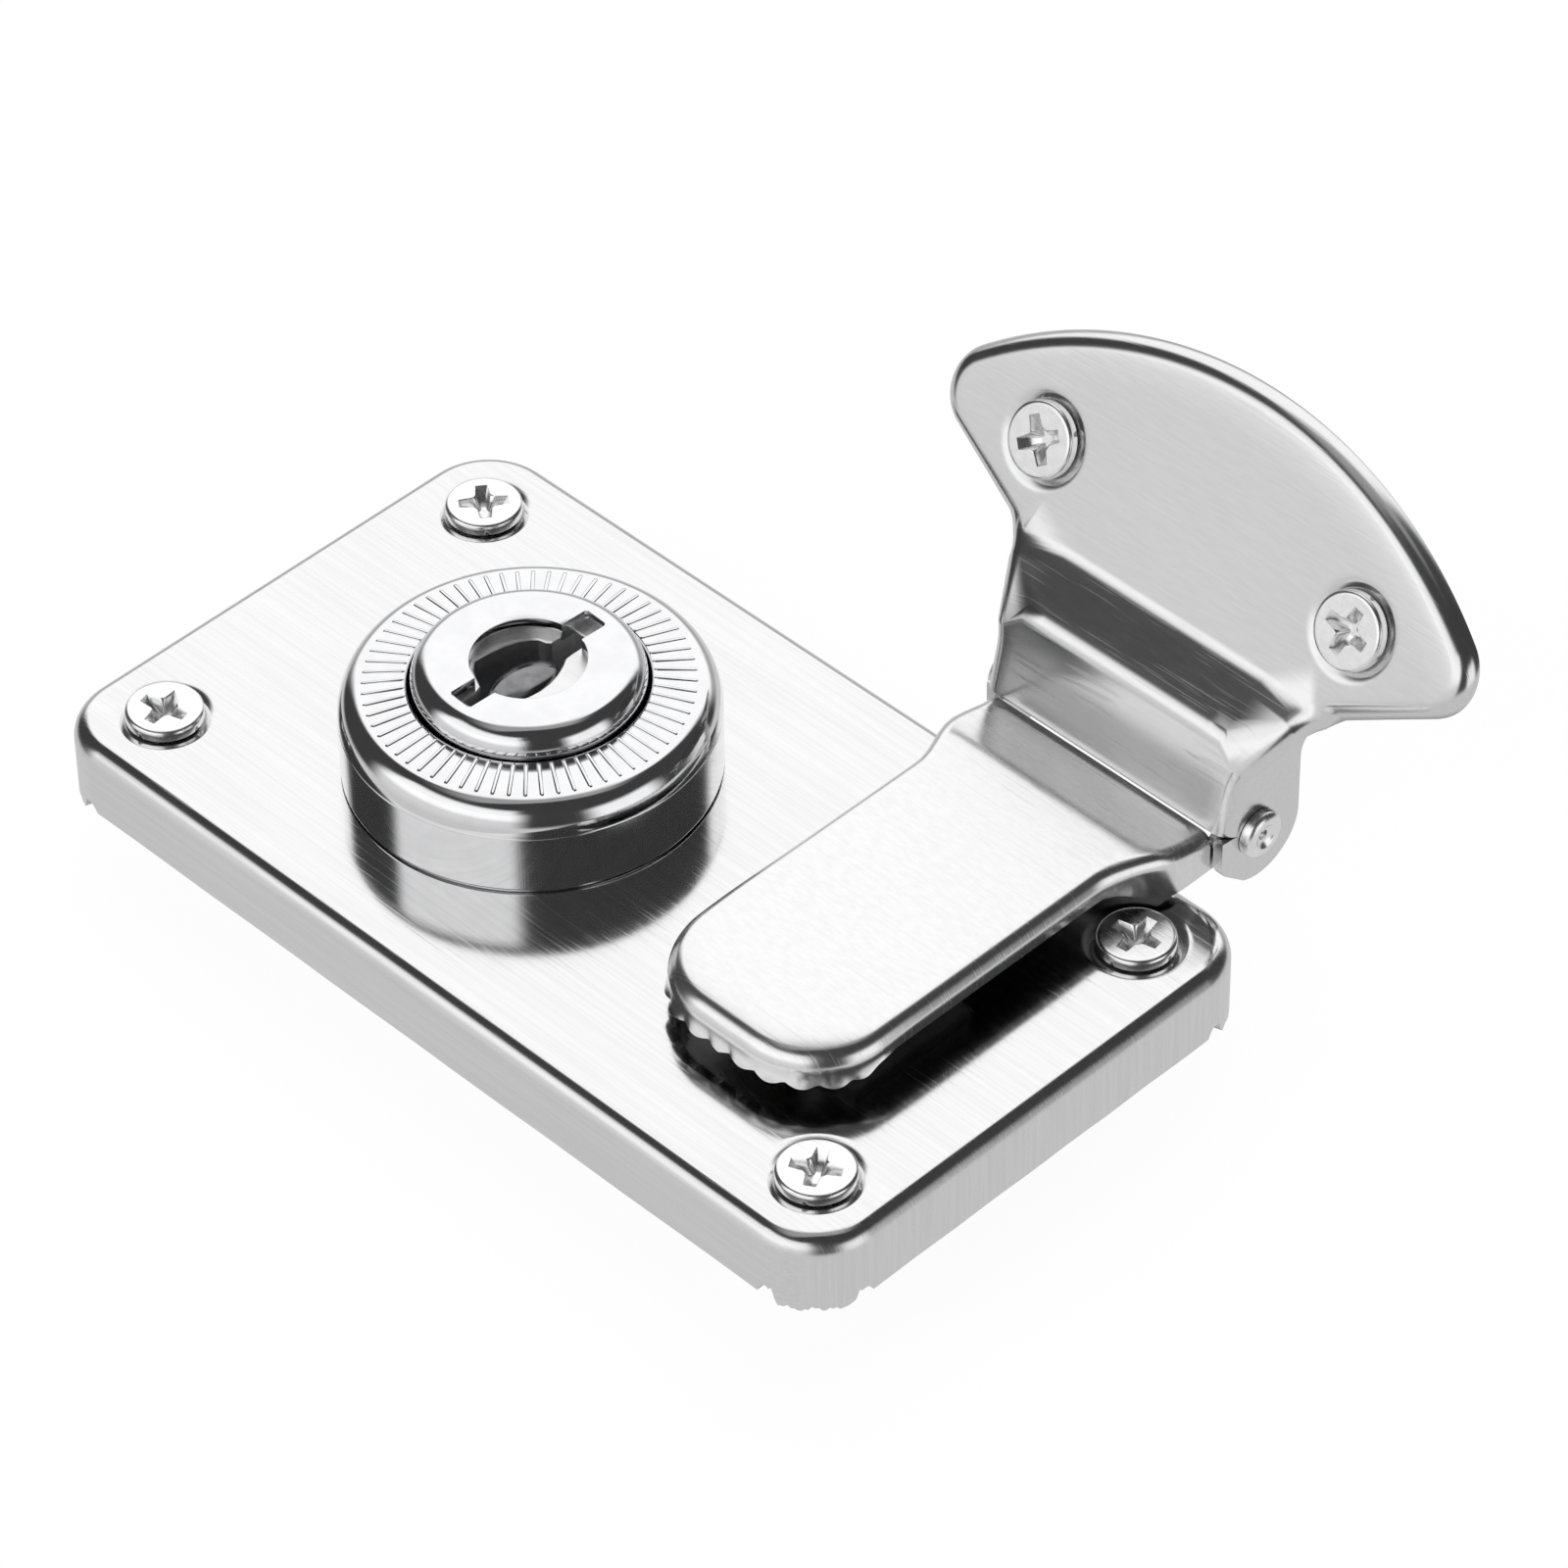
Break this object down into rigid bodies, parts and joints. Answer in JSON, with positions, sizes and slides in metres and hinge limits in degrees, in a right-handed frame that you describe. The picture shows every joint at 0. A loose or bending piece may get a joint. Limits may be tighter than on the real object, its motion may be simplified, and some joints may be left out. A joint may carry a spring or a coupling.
{
  "type": "keyed hasp lock",
  "caption": "Surface-mounted keyed hasp lock with a pressed base plate, a round key lock, a hinged hasp arm and a fan-shaped hinge plate for a lid.",
  "frame": {"origin": "under the centre of the base plate, on the plane of its corner feet", "axes": "+X along the base plate from the lock to the arm, +Y from the arm's nose to the hinge, +Z out of the base plate"},
  "size_m": [0.0888, 0.0687, 0.0416],
  "materials": {
    "brushed_plate": "brushed",
    "satin_arm": "satin",
    "polished_chrome": "polished",
    "screw_zinc": "bright zinc",
    "inner_steel": "plain",
    "dark_steel": "polished",
    "wafer_brass": "plain"
  },
  "bodies": {
    "base": {"base_plate": "brushed_plate", "base_screws": "screw_zinc", "lock_body": "polished_chrome", "keyhole_cap": "polished_chrome", "cylinder_housing": "inner_steel", "mounting_bush": "inner_steel", "lock_nut": "inner_steel", "lock_case": "inner_steel"},
    "plug": {"key_plug": "polished_chrome", "guide_post": "dark_steel", "wafers": "wafer_brass", "wafer_springs": "inner_steel", "drive_cam": "inner_steel", "cam_pin": "inner_steel"},
    "bolt": {"bolt": "inner_steel"},
    "arm": {"arm": "satin_arm", "catch": "inner_steel", "hinge_pin": "screw_zinc"},
    "hinge_plate": {"hinge_plate": "satin_arm", "hinge_screws": "screw_zinc"}
  },
  "joints": [
    {"name": "key_turn", "type": "hinge", "parent": "base", "child": "plug", "pos_m": [-0.011, -0.0007, 0], "axis": [0, 0, -1], "range_deg": [0, 90]},
    {"name": "bolt_throw", "type": "slide", "parent": "base", "child": "bolt", "axis": [1, 0, 0], "range_m": [0, 0.004]},
    {"name": "arm_swing", "type": "hinge", "parent": "base", "child": "arm", "pos_m": [0.02225, 0.0292, 0.0092], "axis": [-1, 0, 0], "range_deg": [0, 85]},
    {"name": "hinge_plate_swing", "type": "hinge", "parent": "arm", "child": "hinge_plate", "pos_m": [0.02225, 0.0292, 0.0092], "axis": [-1, 0, 0], "range_deg": [0, 75]}
  ],
  "couplings": [
    {"joint": "key_turn", "follows": "bolt_throw", "rad_per_m": 392.7}
  ]
}
